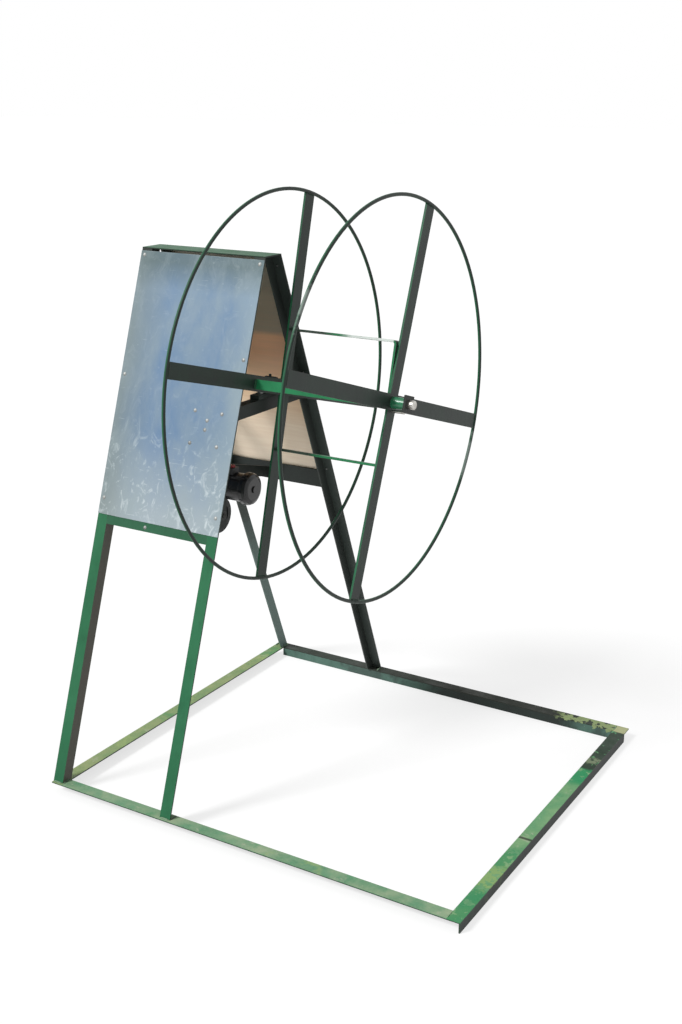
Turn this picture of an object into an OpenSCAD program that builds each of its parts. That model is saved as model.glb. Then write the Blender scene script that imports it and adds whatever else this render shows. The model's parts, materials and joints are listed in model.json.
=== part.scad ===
// Motor-driven rope winder: a welded base with a tapering drive tower and an open two-hoop reel.
// X runs along the reel shaft towards the open end, Y away from the metal cover, Z up.
// The origin is on the floor under the middle of the base frame.

/* [Base frame] */
// Length of the base frame along the reel shaft
base_len = 1050; // [900:5:1200]
// Width of the base frame across the reel
base_wid = 956; // [900:1:1100]
// Width of the flat top side of the base angle bars
rail_w = 30; // [25:1:50]
// Height of the base angle bars
rail_h = 24; // [20:1:50]
// Length cut off the upright sides of the end bars, at every corner but the near front one
corner_notch = 32; // [30:1:60]
// Wall thickness of every angle bar
steel_t = 3; // [2:0.5:5]

/* [Drive tower] */
// Outside length of the tower along the shaft
tower_len = 339; // [300:1:450]
// Side of the leg angle bars
leg_w = 28; // [25:1:40]
// Distance from the base edge to the foot of each leg
foot_inset = 6; // [2:0.5:15]
// Height of the top of the legs
apex_h = 1204; // [1000:1:1400]
// Width of the narrow top cap
cap_wid = 64; // [62:1:90]
// Height of the underside of the front cross bar
front_bar_z = 601; // [500:1:700]
// Height of the underside of the rear cross bar
rear_bar_z = 600; // [500:1:700]
// Height of the flat rear cross bar
rear_bar_h = 50; // [30:1:60]
// Thickness of the flat rear cross bar
rear_bar_t = 5; // [4:0.5:8]
// Width of the bearing bars along the shaft
bearing_bar_w = 25; // [22:1:26]

/* [Covers] */
// Thickness of the bright metal cover on the front legs
sheet_t = 1.5; // [1:0.1:3]
// Distance of the upper edge of the cover below the top cap
sheet_top_gap = 5; // [0:1:10]
// Height of the lower edge of the cover
sheet_z = 621; // [605:1:640]
// Thickness of the board on the rear legs
panel_t = 5; // [3:0.5:10]
// Distance of the board's side edges from the tower ends
panel_inset = 6; // [3:1:12]
// Height of the lower edge of the rear board
panel_z = 618; // [605:1:640]
// Head size of the cover screws
screw_head = 9; // [7:0.5:12]
// Shank size of the cover screws
screw_d = 4; // [3:0.5:6]
// Side of the control box behind the cover
box_side = 88; // [80:1:95]
// Depth of the control box
box_depth = 34; // [20:1:60]
// Spacing of the four bolts that hold the control box
box_pitch = 73; // [60:1:76]
// Distance of the control box middle from the reel end of the tower
box_back = 79; // [77:1:90]
// Drop of the control box middle below the tower top
box_drop = 365; // [330:1:400]
// Distance of the bright bolt of the front cross bar from the outer end of the tower
bar_bolt_x = 139; // [60:1:200]

/* [Reel] */
// Drop of the reel shaft below the tower top
shaft_drop = 289.5; // [280:0.5:320]
// Height of the shaft above the bars that carry the bearings
axis_rise = 20.5; // [18:0.5:26]
// Distance of the reel shaft from the middle of the base, towards the cover
shaft_off = 38.5; // [30:0.5:50]
// Shaft size
shaft_d = 20; // [18:1:25]
// Size of each hoop on the middle line of its bar
hoop_d = 870; // [800:1:875]
// Thickness of the round bar of the hoops
hoop_bar = 8; // [6:0.5:12]
// Distance of the inner hoop from the reel end of the tower
inner_gap = 26.5; // [23:0.5:45]
// Distance between the two hoops
hoop_gap = 275; // [200:0.5:340]
// Width of the flat spokes
spoke_w = 35; // [25:1:40]
// Thickness of the flat spokes
spoke_t = 5; // [4:0.5:6]
// Lean of the upright spoke of the inner hoop at rest
inner_lean = 14.3; // [0:0.1:45]
// Extra lean of the level spoke of the inner hoop
inner_skew = 0.9; // [-3:0.1:3]
// Lean of the upright spoke of the outer hoop at rest
outer_lean = 21.2; // [0:0.1:45]
// Extra lean of the level spoke of the outer hoop
outer_skew = -4; // [-5:0.1:3]
// Half height of the upright core frame
core_half_up = 137; // [110:1:160]
// Drop of the middle of the upright core frame below the shaft
core_sag = 4.5; // [0:0.5:8]
// Half width of the level core frame
core_half_level = 123; // [105:1:150]
// Width of the flat bar of the core frames
core_w = 22; // [16:1:28]
// Thickness of the flat bar of the core frames
core_t = 5; // [4:0.5:6]
// Outer radius of the bends of the core frames
core_bend = 10; // [8:0.5:16]

/* [Removable flange] */
// Outside size of the hub sleeve on the outer hoop
sleeve_d = 26; // [24:0.5:32]
// Length of the hub sleeve outside the spokes
sleeve_len = 34; // [20:1:40]
// Side of the square clamp nut
nut_side = 38; // [30:1:45]
// Thickness of the square clamp nut
nut_t = 5; // [4:0.5:10]
// Length of bare shaft beyond the clamp nut
shaft_tip = 14; // [10:1:30]
// Size of the pin that turns the outer hoop with the core
pin_d = 6; // [5:0.5:8]
// Distance of the turning pin from the shaft axis
pin_off = 19; // [18:0.5:24]

/* [Drive] */
// Distance of the belt drive to the counter shaft from the outer end of the tower
first_belt_x = 150; // [140:1:152]
// Distance of the belt drive to the reel from the outer end of the tower
second_belt_x = 122; // [90:1:130]
// Distance of the motor axis from the front of the base
motor_y = 439; // [430:1:460]
// Height of the motor axis
motor_z = 661; // [650:1:680]
// Outside size of the motor body
motor_d = 67; // [50:1:70]
// Outside size of the motor end cap
cap_d = 77; // [72:1:80]
// Length of the motor body
motor_len = 90; // [60:1:100]
// Length of the motor end cap
cap_len = 22; // [14:1:30]
// Distance of the counter shaft from the front of the base
counter_y = 468; // [460:1:480]
// Height of the counter shaft
counter_z = 570; // [560:1:580]
// Outside size of the large pulley on the counter shaft
counter_big_d = 88; // [70:1:100]
// Outside size of the small pulley on the counter shaft
counter_small_d = 60; // [44:1:70]
// Outside size of the motor pulley
motor_pulley_d = 44; // [30:1:50]
// Outside size of the pulley on the reel shaft
reel_pulley_d = 240; // [160:2:250]
// Thickness of the plate that carries the motor
plate_t = 5; // [4:0.5:8]

/* [Fits] */
// Running fit of a shaft in its bearing, on the radius
running_fit = 0.05; // [0.01:0.01:0.1]
// Sliding fit of the removable flange on the shaft, on the radius
sliding_fit = 0.1; // [0.02:0.01:0.1]
// Free gap between parts that move past each other
move_gap = 0.3; // [0.2:0.05:1]

/* [Hidden] */
$fn = 72;

x0 = -base_len / 2;
y0 = -base_wid / 2;
x1 = x0 + tower_len;
shaft_y = -shaft_off;
shaft_h = apex_h - shaft_drop;
bearing_bar_z = shaft_h - axis_rise;
box_x = tower_len - box_back;
box_z = apex_h - box_drop;
front_foot = y0 + foot_inset;
rear_foot = -y0 - foot_inset;
front_top = shaft_y - cap_wid / 2;
rear_top = shaft_y + cap_wid / 2;
front_slope = (front_top - front_foot) / (apex_h - rail_h);
rear_slope = (rear_foot - rear_top) / (apex_h - rail_h);
front_ang = atan(front_slope);
rear_ang = atan(rear_slope);
function front_y(z) = front_foot + (z - rail_h) * front_slope;
function rear_y(z) = rear_foot - (z - rail_h) * rear_slope;
inner_hx = x1 + inner_gap;
outer_hx = inner_hx + hoop_gap;
hoop_r = hoop_d / 2;
spoke_r = hoop_r;
shaft_start = x0;
sleeve_x = outer_hx + spoke_t / 2;
nut_x = sleeve_x + sleeve_len + move_gap;
shaft_end = nut_x + nut_t + shaft_tip;
core_x = inner_hx + spoke_t / 2;
core_end = outer_hx - spoke_t / 2 - move_gap;
house_r = axis_rise + 1;
house_w = 24;
foot_len = 127;
foot_t = 10;
foot_bolt = 40;
foot_bolt_d = 8;
insert_r = 15;
near_bx = x1 - bearing_bar_w / 2;
far_bx = x0 + bearing_bar_w / 2;
bar_drop = 29;
boss_r = 16;
belt_h = 6;
belt_in = 3.5;
belt_out = 5;
belt_deep = 5.5;
pulley_w = 14;
belt_taper = (belt_out - belt_in) / belt_h;
motor_cy = y0 + motor_y;
counter_cy = y0 + counter_y;
plate_gap = 4;
plate_x = x0 + first_belt_x + pulley_w / 2 + plate_gap;
motor_x = plate_x + plate_t;
motor_shaft_d = 8;
counter_shaft_d = 12;
bush_r = 10;
bush_lip = 1;
plate_arm_z = 610;
plate_arm_h = 30;
plate_low = 540;
plate_top = 702;
plate_half = 58;
plate_edge = counter_cy + bush_r + 3;
plate_tie = 698;
tie_low = rear_bar_z + 8;
tie_high = tie_low + plate_arm_h;
cut = 1;

// Upright outline in Y and Z, drawn out along X from xs
module side_prism(points, xs, len) {
    translate([xs, 0, 0]) rotate([90, 0, 90]) linear_extrude(len) polygon(points);
}

// Local Z along X, local X along Y and local Y along Z
module on_axis(x, y, z) {
    translate([x, y, z]) rotate([90, 0, 90]) children();
}

// Round bar along X
module rod_x(xs, y, z, r, len) {
    on_axis(xs, y, z) cylinder(r = r, h = len);
}

// Local Z points out of the slanted front face and local Y up along it
module on_front(x, z) {
    translate([x, front_y(z), z]) rotate([90 - front_ang, 0, 0]) children();
}

// Local Z points out of the slanted rear face and local Y down along it
module on_rear(x, z) {
    translate([x, rear_y(z), z]) rotate([rear_ang - 90, 0, 0]) children();
}

// Reel pieces are drawn about the shaft and leaned by an angle
module reel_pose(x, lean) {
    translate([x, shaft_y, shaft_h]) rotate([-lean, 0, 0]) children();
}

// A leg as an angle bar: one side in the slanted face, one side across it
module front_leg(xs, web_x) {
    t_y = steel_t / cos(front_ang);
    w_y = leg_w / cos(front_ang);
    difference() {
        union() {
            side_prism([[front_y(rail_h), rail_h], [front_y(rail_h) + t_y, rail_h],
                [front_y(apex_h) + t_y, apex_h], [front_y(apex_h), apex_h]], xs, leg_w);
            side_prism([[front_y(rail_h), rail_h], [front_y(rail_h) + w_y, rail_h],
                [front_y(apex_h) + w_y, apex_h], [front_y(apex_h), apex_h]], web_x, steel_t);
        }
        cover_screw_holes(-steel_t - cut, screw_d / 2);
    }
}

module rear_leg(xs, web_x) {
    t_y = steel_t / cos(rear_ang);
    w_y = leg_w / cos(rear_ang);
    difference() {
        union() {
            side_prism([[rear_y(rail_h), rail_h], [rear_y(rail_h) - t_y, rail_h],
                [rear_y(apex_h) - t_y, apex_h], [rear_y(apex_h), apex_h]], xs, leg_w);
            side_prism([[rear_y(rail_h), rail_h], [rear_y(rail_h) - w_y, rail_h],
                [rear_y(apex_h) - w_y, apex_h], [rear_y(apex_h), apex_h]], web_x, steel_t);
        }
        panel_screw_holes(-steel_t - cut, screw_d / 2);
    }
}

screw_in = 10;
screw_top = apex_h - 14;
screw_low = sheet_z + 35;
screw_mid = (screw_top + sheet_z) / 2 + 85;
panel_top = apex_h - 24;
panel_low = panel_z + 42;
screw_spots = [[screw_in, screw_top], [screw_in, screw_low], [tower_len - screw_in, screw_top],
    [tower_len - screw_in - 3, screw_low + 3], [tower_len - screw_in, screw_mid],
    [screw_in, screw_mid - 62]];
panel_spots = [for (x = [panel_inset + screw_in, tower_len - panel_inset - screw_in],
    z = [panel_top, (panel_top + panel_low) / 2, panel_low]) [x, z]];

module cover_screw_holes(depth, r) {
    for (p = screw_spots) on_front(x0 + p[0], p[1])
        translate([0, 0, depth]) cylinder(r = r, h = -depth + sheet_t + cut);
}

module panel_screw_holes(depth, r) {
    for (p = panel_spots) on_rear(x0 + p[0], p[1])
        translate([0, 0, depth]) cylinder(r = r, h = -depth + panel_t + cut);
}

// Domed screw with its shank reaching down by depth
module pan_screw(seat, depth) {
    translate([0, 0, seat]) intersection() {
        translate([0, 0, -screw_head / 2]) sphere(r = screw_head * 0.72);
        cylinder(r = screw_head / 2, h = screw_head / 2);
    }
    translate([0, 0, -depth]) cylinder(r = screw_d / 2, h = seat + depth);
}

// Hexagon head with a through hole position, drawn upwards
module hex_head(r, h) {
    cylinder(r = r, h = h, $fn = 6);
}

module rail_front() color([0.33, 0.56, 0.42]) {
    translate([x0 + rail_w, y0, rail_h - steel_t]) cube([base_len - 2 * rail_w, rail_w, steel_t]);
    translate([x0 + rail_w, y0 + rail_w - steel_t, 0])
        cube([base_len - 2 * rail_w, steel_t, rail_h]);
}

module rail_rear() color([0.33, 0.56, 0.42]) {
    translate([x0 + rail_w, -y0 - rail_w, rail_h - steel_t])
        cube([base_len - 2 * rail_w, rail_w, steel_t]);
    translate([x0 + rail_w, -y0 - rail_w, 0]) cube([base_len - 2 * rail_w, steel_t, rail_h]);
}

module rail_far() color([0.33, 0.56, 0.42]) {
    translate([x0, y0, rail_h - steel_t]) cube([rail_w, base_wid, steel_t]);
    translate([x0, y0 + corner_notch, 0]) cube([steel_t, base_wid - 2 * corner_notch, rail_h]);
}

module rail_near() color([0.33, 0.56, 0.42]) {
    translate([-x0 - rail_w, y0, rail_h - steel_t]) cube([rail_w, base_wid, steel_t]);
    translate([-x0 - steel_t, y0, 0]) cube([steel_t, base_wid - corner_notch, rail_h]);
}

module leg_far_front() color([0.2, 0.48, 0.33]) front_leg(x0, x0 + leg_w - steel_t);
module leg_far_rear() color([0.2, 0.48, 0.33]) rear_leg(x0, x0 + leg_w - steel_t);
module leg_near_front() color([0.2, 0.48, 0.33]) difference() {
    front_leg(x1 - leg_w, x1 - leg_w);
    on_axis(x1 - leg_w - cut, front_y(apex_h - 16) + 16, apex_h - 16)
        cylinder(r = screw_d / 2, h = steel_t + 2 * cut);
}
module leg_near_rear() color([0.2, 0.48, 0.33]) rear_leg(x1 - leg_w, x1 - leg_w);

module top_cap() color([0.38, 0.5, 0.43])
    translate([x0, front_top, apex_h]) cube([tower_len, cap_wid, steel_t]);

// Angle bar between the front legs, its shelf pointing inwards
module crossbar_front() color([0.26, 0.42, 0.35]) {
    xs = x0 + leg_w;
    len = tower_len - 2 * leg_w;
    zt = front_bar_z + leg_w;
    t_y = steel_t / cos(front_ang);
    difference() {
        union() {
            side_prism([[front_y(front_bar_z), front_bar_z], [front_y(front_bar_z) + t_y, front_bar_z],
                [front_y(zt) + t_y, zt], [front_y(zt), zt]], xs, len);
            side_prism([[front_y(zt), zt], [front_y(zt) + leg_w, zt],
                [front_y(zt) + leg_w, zt - steel_t], [front_y(zt - steel_t), zt - steel_t]], xs, len);
        }
        on_front(x0 + bar_bolt_x, front_bar_z + 9) translate([0, 0, -steel_t - cut])
            cylinder(r = screw_d / 2, h = steel_t + 2 * cut);
    }
}

module crossbar_bolt() color([0.75, 0.77, 0.76])
    on_front(x0 + bar_bolt_x, front_bar_z + 9) pan_screw(0, steel_t + 4);

module crossbar_rear() color([0.25, 0.3, 0.27]) {
    zt = rear_bar_z + rear_bar_h;
    t_y = rear_bar_t / cos(rear_ang);
    side_prism([[rear_y(rear_bar_z), rear_bar_z], [rear_y(rear_bar_z) - t_y, rear_bar_z],
        [rear_y(zt) - t_y, zt], [rear_y(zt), zt]], x0 + leg_w, tower_len - 2 * leg_w);
}

// Angle bar across a pair of legs with the bearing on its shelf
module bearing_bar(xs, lip_x, bx) {
    zb = bearing_bar_z - bar_drop;
    inset = steel_t / cos(front_ang);
    inset_r = steel_t / cos(rear_ang);
    difference() {
        union() {
            side_prism([[front_y(bearing_bar_z) + inset, bearing_bar_z],
                [front_y(bearing_bar_z - steel_t) + inset, bearing_bar_z - steel_t],
                [rear_y(bearing_bar_z - steel_t) - inset_r, bearing_bar_z - steel_t],
                [rear_y(bearing_bar_z) - inset_r, bearing_bar_z]], xs, bearing_bar_w);
            side_prism([[front_y(bearing_bar_z) + inset, bearing_bar_z],
                [front_y(zb) + inset, zb], [rear_y(zb) - inset_r, zb],
                [rear_y(bearing_bar_z) - inset_r, bearing_bar_z]], lip_x, steel_t);
        }
        for (s = [-1, 1]) translate([bx, shaft_y + s * foot_bolt, bearing_bar_z - steel_t - cut])
            cylinder(r = foot_bolt_d / 2, h = steel_t + 2 * cut);
    }
}

module bearing_bar_far() color([0.24, 0.29, 0.26]) bearing_bar(x0, x0, far_bx);
module bearing_bar_near() color([0.24, 0.29, 0.26])
    bearing_bar(x1 - bearing_bar_w, x1 - steel_t, near_bx);

module cover_sheet() color([0.6, 0.68, 0.74]) difference() {
    on_front(x0, sheet_z) cube([tower_len, (apex_h - sheet_top_gap - sheet_z) / cos(front_ang), sheet_t]);
    cover_screw_holes(-cut, screw_d / 2);
    box_bolt_holes(-cut);
}

module cover_screws() color([0.8, 0.82, 0.83])
    for (p = screw_spots) on_front(x0 + p[0], p[1]) pan_screw(sheet_t, steel_t + 3);

module back_panel() color([0.72, 0.58, 0.42]) difference() {
    on_rear(x0 + panel_inset, apex_h)
        cube([tower_len - 2 * panel_inset, (apex_h - panel_z) / cos(rear_ang), panel_t]);
    panel_screw_holes(-cut, screw_d / 2);
}

module panel_screws() color([0.8, 0.82, 0.83])
    for (p = panel_spots) on_rear(x0 + p[0], p[1]) pan_screw(panel_t, steel_t + 3);

box_spots = [[-box_pitch / 2, box_pitch / 2], [box_pitch / 2, box_pitch / 2],
    [-box_pitch / 2, -box_pitch / 2], [box_pitch / 2, -box_pitch / 2], [0, 18], [-2, -3]];

module box_bolt_holes(depth) {
    on_front(x0 + box_x, box_z) for (p = box_spots) translate([p[0], p[1], depth])
        cylinder(r = screw_d / 2, h = -depth + sheet_t + cut);
}

module control_box() color([0.16, 0.17, 0.17]) difference() {
    on_front(x0 + box_x, box_z) union() {
        translate([-box_side / 2, -box_side / 2, -box_depth]) cube([box_side, box_side, box_depth]);
        translate([-box_side / 2 + 6, -box_side / 2 + 6, -box_depth - 3])
            cube([box_side - 12, box_side - 12, 3]);
    }
    box_bolt_holes(-12);
}

module control_box_bolts() color([0.8, 0.82, 0.83])
    on_front(x0 + box_x, box_z) for (p = box_spots) translate([p[0], p[1], 0])
        pan_screw(sheet_t, 12);

// Cut plate between the cross bars with a wide middle for the motor and counter shaft
module motor_plate() color([0.22, 0.27, 0.24]) {
    mid = (motor_cy + counter_cy) / 2;
    zt = plate_arm_z + plate_arm_h;
    front_in = steel_t / cos(front_ang);
    rear_in = rear_bar_t / cos(rear_ang);
    arm_front = min(zt, front_bar_z + leg_w - steel_t);
    difference() {
        side_prism([[front_y(plate_arm_z) + front_in, plate_arm_z],
            [mid - plate_half, plate_arm_z], [mid - plate_half, plate_low],
            [plate_edge, plate_low], [plate_edge, plate_tie - plate_arm_h],
            [rear_y(tie_low) - rear_in, tie_low], [rear_y(tie_high) - rear_in, tie_high],
            [plate_edge, plate_tie], [mid - plate_half + 8, plate_top],
            [mid - plate_half, zt], [mid - plate_half - 12, arm_front],
            [front_y(arm_front) + front_in, arm_front]], plate_x, plate_t);
        rod_x(plate_x - cut, motor_cy, motor_z, 12, plate_t + 2 * cut);
        rod_x(plate_x - cut, counter_cy, counter_z, bush_r, plate_t + 2 * cut);
        for (a = [45 : 90 : 315]) motor_bolt_at(a) translate([0, 0, -cut])
            cylinder(r = 2.5, h = plate_t + 2 * cut);
    }
}

module motor_bolt_at(a) {
    on_axis(plate_x, motor_cy, motor_z) rotate([0, 0, a]) translate([22, 0, 0]) children();
}

module motor_body() color([0.1, 0.11, 0.11]) difference() {
    union() {
        rod_x(motor_x, motor_cy, motor_z, motor_d / 2, motor_len);
        rod_x(motor_x, motor_cy, motor_z, motor_d / 2 + 1.5, 8);
    }
    rod_x(motor_x - cut, motor_cy, motor_z, motor_shaft_d / 2 + running_fit, motor_len - 10);
    for (a = [45 : 90 : 315]) motor_bolt_at(a) translate([0, 0, plate_t - cut])
        cylinder(r = 2.5, h = 9 + cut);
}

// Domed cover on the free end of the motor with raised cooling ribs
module motor_end_cap() color([0.12, 0.12, 0.12]) {
    cx = motor_x + motor_len;
    on_axis(cx, motor_cy, motor_z) {
        rotate_extrude() polygon([[0, 0], [cap_d / 2 - 1, 0], [cap_d / 2, 1.5],
            [cap_d / 2, cap_len * 0.5], [cap_d / 2 - 3, cap_len * 0.8],
            [cap_d / 2 - 9, cap_len - 1], [cap_d / 2 - 12, cap_len], [0, cap_len]]);
        translate([0, 0, cap_len]) cylinder(r = 8, h = 3);
        for (a = [0 : 30 : 330]) rotate([0, 0, a]) translate([cap_d / 2 - 1.5, -1.5, 2])
            cube([2.5, 3, cap_len * 0.5 - 3]);
    }
}

module motor_bolts() color([0.7, 0.72, 0.71])
    for (a = [45 : 90 : 315]) motor_bolt_at(a) {
        translate([0, 0, 1 - plate_gap]) hex_head(4.2, plate_gap - 1);
        cylinder(r = 2.5, h = plate_t + 8);
    }

terminal_z = motor_z + motor_d / 2;
module terminal_box() color([0.14, 0.14, 0.14])
    translate([motor_x + 30, motor_cy - 13, 0]) difference() {
        translate([0, 0, terminal_z - 4]) cube([30, 26, 16]);
        translate([-cut, 13, motor_z]) rotate([0, 90, 0]) cylinder(r = motor_d / 2, h = 30 + 2 * cut);
    }

module terminal_clip() color([0.7, 0.1, 0.12])
    translate([motor_x + 33, motor_cy - 5, terminal_z + 12]) cube([22, 10, 5]);

module counter_bush() color([0.45, 0.45, 0.42]) difference() {
    union() {
        rod_x(plate_x, counter_cy, counter_z, bush_r, plate_t);
        rod_x(motor_x, counter_cy, counter_z, bush_r + 2, bush_lip);
    }
    rod_x(plate_x - cut, counter_cy, counter_z, counter_shaft_d / 2 + running_fit,
        bush_lip + plate_t + 2 * cut);
}

module bearing_housing(bx) difference() {
    union() {
        translate([bx - house_w / 2, shaft_y - foot_len / 2, bearing_bar_z])
            cube([house_w, foot_len, foot_t]);
        rod_x(bx - house_w / 2, shaft_y, shaft_h, house_r, house_w);
        translate([bx - house_w / 2, shaft_y - house_r, bearing_bar_z])
            cube([house_w, 2 * house_r, axis_rise]);
        translate([bx, shaft_y, shaft_h + house_r - 2]) cylinder(r = 3, h = 7);
    }
    rod_x(bx - house_w / 2 - cut, shaft_y, shaft_h, insert_r, house_w + 2 * cut);
    translate([bx - house_w / 2 - cut, shaft_y - foot_len, bearing_bar_z - house_r])
        cube([house_w + 2 * cut, 2 * foot_len, house_r]);
    for (s = [-1, 1]) translate([bx, shaft_y + s * foot_bolt, bearing_bar_z - cut])
        cylinder(r = foot_bolt_d / 2, h = foot_t + 2 * cut);
}

module bearing_insert(bx) difference() {
    union() {
        rod_x(bx - house_w / 2, shaft_y, shaft_h, insert_r, house_w);
        rod_x(bx - house_w / 2 + 1, shaft_y, shaft_h, insert_r - 2, house_w + 1);
    }
    rod_x(bx - house_w / 2 - 3, shaft_y, shaft_h, shaft_d / 2 + running_fit, house_w + 6);
}

module bearing_bolts(bx) for (s = [-1, 1]) translate([bx, shaft_y + s * foot_bolt, 0]) {
    translate([0, 0, bearing_bar_z + foot_t]) hex_head(7.5, 6);
    translate([0, 0, bearing_bar_z - steel_t - 9]) cylinder(r = foot_bolt_d / 2, h = foot_t + 20);
    translate([0, 0, bearing_bar_z - steel_t - 7]) hex_head(7.5, 7);
}

module bearing_far_housing() color([0.2, 0.26, 0.23]) bearing_housing(far_bx);
module bearing_far_insert() color([0.6, 0.6, 0.58]) bearing_insert(far_bx);
module bearing_far_bolts() color([0.7, 0.71, 0.7]) bearing_bolts(far_bx);
module bearing_near_housing() color([0.2, 0.26, 0.23]) bearing_housing(near_bx);
module bearing_near_insert() color([0.6, 0.6, 0.58]) bearing_insert(near_bx);
module bearing_near_bolts() color([0.7, 0.71, 0.7]) bearing_bolts(near_bx);

// Outline of two wheels joined by their outer tangents, as one closed ring of points
function arc_points(cx, r, from, to, n) =
    [for (i = [0 : n]) [cx + r * cos(from + (to - from) * i / n), r * sin(from + (to - from) * i / n)]];
function wheel_pair(run, turn, ra, rb) =
    concat(arc_points(0, ra, turn, 360 - turn, 48), arc_points(run, rb, -turn, turn, 24));

// Closed belt round a large wheel at ya, za and a small one at yb, zb
module belt_loop(x, ya, za, ra, yb, zb, rb) {
    run = sqrt((yb - ya) * (yb - ya) + (zb - za) * (zb - za));
    lean = atan2(zb - za, yb - ya);
    turn = acos((ra - rb) / run);
    on_axis(x - belt_in, ya, za) rotate([0, 0, lean]) linear_extrude(2 * belt_in) difference() {
        polygon(wheel_pair(run, turn, ra + belt_h, rb + belt_h));
        polygon(wheel_pair(run, turn, ra, rb));
    }
}

function belt_r(d) = d / 2 - belt_deep;

// Grooved wheel with its belt groove kept clear of the belt
module grooved(x, y, z, d) {
    r = belt_r(d) - move_gap;
    on_axis(x, y, z) difference() {
        translate([0, 0, -pulley_w / 2]) cylinder(r = d / 2, h = pulley_w);
        rotate_extrude() polygon([[r, -belt_in - move_gap], [r + 9, -belt_in - move_gap - 9 * belt_taper],
            [r + 9, belt_in + move_gap + 9 * belt_taper], [r, belt_in + move_gap]]);
    }
}

module belt_motor() color([0.07, 0.07, 0.07])
    belt_loop(x0 + first_belt_x, counter_cy, counter_z, belt_r(counter_big_d),
        motor_cy, motor_z, belt_r(motor_pulley_d));

module belt_reel() color([0.07, 0.07, 0.07])
    belt_loop(x0 + second_belt_x, shaft_y, shaft_h, belt_r(reel_pulley_d),
        counter_cy, counter_z, belt_r(counter_small_d));

module reel_shaft() color([0.78, 0.78, 0.77]) difference() {
    union() {
        rod_x(shaft_start, shaft_y, shaft_h, shaft_d / 2, shaft_end - shaft_start - 1.5);
        on_axis(shaft_end - 1.5, shaft_y, shaft_h)
            cylinder(r1 = shaft_d / 2, r2 = shaft_d / 2 - 1.5, h = 1.5);
    }
    on_axis(shaft_end - 3, shaft_y, shaft_h) cylinder(r1 = 0.5, r2 = 3.5, h = 3 + 0.01);
}

// Web wheel on the reel shaft with holes between its rim and hub
module reel_pulley() color([0.18, 0.19, 0.19]) {
    px = x0 + second_belt_x;
    rim = belt_r(reel_pulley_d) - 10;
    difference() {
        union() {
            difference() {
                grooved(px, shaft_y, shaft_h, reel_pulley_d);
                rod_x(px - pulley_w, shaft_y, shaft_h, rim, pulley_w * 2);
            }
            rod_x(px - 3, shaft_y, shaft_h, rim + 1, 6);
            rod_x(px - pulley_w, shaft_y, shaft_h, 22, pulley_w * 2);
        }
        rod_x(px - pulley_w - cut, shaft_y, shaft_h, shaft_d / 2, pulley_w * 2 + 2 * cut);
        for (a = [0 : 60 : 300]) on_axis(px - pulley_w, shaft_y, shaft_h) rotate([0, 0, a])
            translate([(rim + 22) / 2, 0, 0]) cylinder(r = 24, h = pulley_w * 2);
    }
}

module hub_boss() color([0.2, 0.46, 0.33]) difference() {
    union() {
        rod_x(x1 + 3, shaft_y, shaft_h, boss_r, inner_hx - spoke_t / 2 - x1 - 3);
        reel_pose(inner_hx, inner_lean) translate([-4, 0, boss_r - 2]) rotate([0, -90, 0])
            translate([1, 0, 8]) cylinder(r = 4, h = 6, $fn = 6);
    }
    rod_x(x1, shaft_y, shaft_h, shaft_d / 2, inner_hx - x1);
}

module hoop(x) on_axis(x, shaft_y, shaft_h)
    rotate_extrude($fn = 160) translate([hoop_r, 0]) circle(d = hoop_bar, $fn = 24);

module cross(x, lean, skew, bore) difference() {
    union() {
        reel_pose(x, lean + skew) translate([-spoke_t / 2, -spoke_r, -spoke_w / 2])
            cube([spoke_t, 2 * spoke_r, spoke_w]);
        reel_pose(x, lean) translate([-spoke_t / 2, -spoke_w / 2, -spoke_r])
            cube([spoke_t, spoke_w, 2 * spoke_r]);
    }
    rod_x(x - spoke_t, shaft_y, shaft_h, bore, spoke_t * 2);
    hoop(x);
}

module inner_hoop() color([0.22, 0.3, 0.26]) hoop(inner_hx);
module inner_spokes() color([0.22, 0.3, 0.26]) cross(inner_hx, inner_lean, inner_skew, shaft_d / 2);
module outer_hoop() color([0.22, 0.3, 0.26]) hoop(outer_hx);
module outer_spokes() color([0.22, 0.3, 0.26]) difference() {
    cross(outer_hx, outer_lean, outer_skew, shaft_d / 2 + sliding_fit);
    pin_at(outer_hx - spoke_t) cylinder(r = pin_d / 2 + move_gap, h = spoke_t * 2);
}

// Bent flat bar: two arms from the inner spokes and a leg across the open end
module core_frame(half, end_x, sag) difference() {
    len = end_x - core_x;
    translate([0, core_w / 2, -sag]) rotate([90, 0, 0]) linear_extrude(core_w) difference() {
        union() {
            square_from(0, -half, len - core_bend, 2 * half);
            square_from(0, -half + core_bend, len, 2 * half - 2 * core_bend);
            for (s = [-1, 1]) translate([len - core_bend, s * (half - core_bend)]) circle(r = core_bend);
        }
        union() {
            square_from(-cut, -half + core_t, len - core_bend + cut, 2 * (half - core_t));
            square_from(-cut, -half + core_bend, len - core_t + cut, 2 * half - 2 * core_bend);
            for (s = [-1, 1]) translate([len - core_bend, s * (half - core_bend)])
                circle(r = core_bend - core_t);
        }
    }
    translate([len - 2 * core_t, 0, 0]) rotate([0, 90, 0]) cylinder(r = shaft_d / 2, h = core_t * 3);
}

module square_from(x, y, w, h) {
    translate([x, y]) square([w, h]);
}

module core_frame_upright() color([0.24, 0.5, 0.36]) difference() {
    reel_pose(core_x, inner_lean) core_frame(core_half_up, core_end, core_sag);
    pin_at(core_end - 2 * core_t) cylinder(r = pin_d / 2, h = core_t * 3);
}

module core_frame_level() color([0.24, 0.5, 0.36])
    reel_pose(core_x, inner_lean) rotate([90, 0, 0]) core_frame(core_half_level, core_end - core_t, 0);

// The turning pin stands below the shaft on the leg of the upright core frame
module pin_at(x) {
    reel_pose(x, (inner_lean + outer_lean) / 2) translate([0, 0, -pin_off]) rotate([0, 90, 0])
        children();
}

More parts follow.
